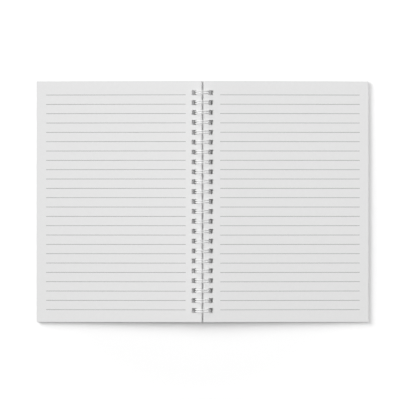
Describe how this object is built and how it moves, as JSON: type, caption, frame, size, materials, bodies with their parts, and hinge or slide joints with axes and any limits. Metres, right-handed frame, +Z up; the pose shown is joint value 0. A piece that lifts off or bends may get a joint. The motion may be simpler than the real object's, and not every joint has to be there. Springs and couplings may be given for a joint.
{
  "type": "open wire-bound notebook",
  "caption": "Ruled notebook with a white twin-loop wire along its spine, lying open flat in the middle on its two plain card covers.",
  "frame": {"origin": "on the table, midway between the two halves and midway along the wire", "axes": "+X to the reader's right, +Y towards the head of the pages along the wire, +Z up from the table"},
  "size_m": [0.2846, 0.2064, 0.0131],
  "materials": {
    "page_paper": "matte",
    "cover_card": "matte",
    "coated_wire": "satin"
  },
  "bodies": {
    "binding": {"wire_binding": "coated_wire"},
    "front_cover": {"front_cover": "cover_card"},
    "front_leaves": {"front_pages": "page_paper"},
    "back_leaves": {"back_pages": "page_paper"},
    "back_cover": {"back_cover": "cover_card"}
  },
  "joints": [
    {"name": "front_cover_hinge", "type": "hinge", "parent": "binding", "child": "front_cover", "pos_m": [0, 0, 0.0065], "axis": [0, 1, 0], "range_deg": [0, 182.92]},
    {"name": "front_leaves_turn", "type": "hinge", "parent": "binding", "child": "front_leaves", "pos_m": [0, 0, 0.0065], "axis": [0, 1, 0], "range_deg": [0, 182.92]},
    {"name": "back_cover_hinge", "type": "hinge", "parent": "binding", "child": "back_cover", "pos_m": [0, 0, 0.0065], "axis": [0, 1, 0], "range_deg": [-182.92, 0]},
    {"name": "back_leaves_turn", "type": "hinge", "parent": "binding", "child": "back_leaves", "pos_m": [0, 0, 0.0065], "axis": [0, 1, 0], "range_deg": [-182.92, 0]}
  ],
  "couplings": [
    {"joint": "front_leaves_turn", "follows": "front_cover_hinge", "ratio": 1},
    {"joint": "back_leaves_turn", "follows": "back_cover_hinge", "ratio": 1}
  ]
}
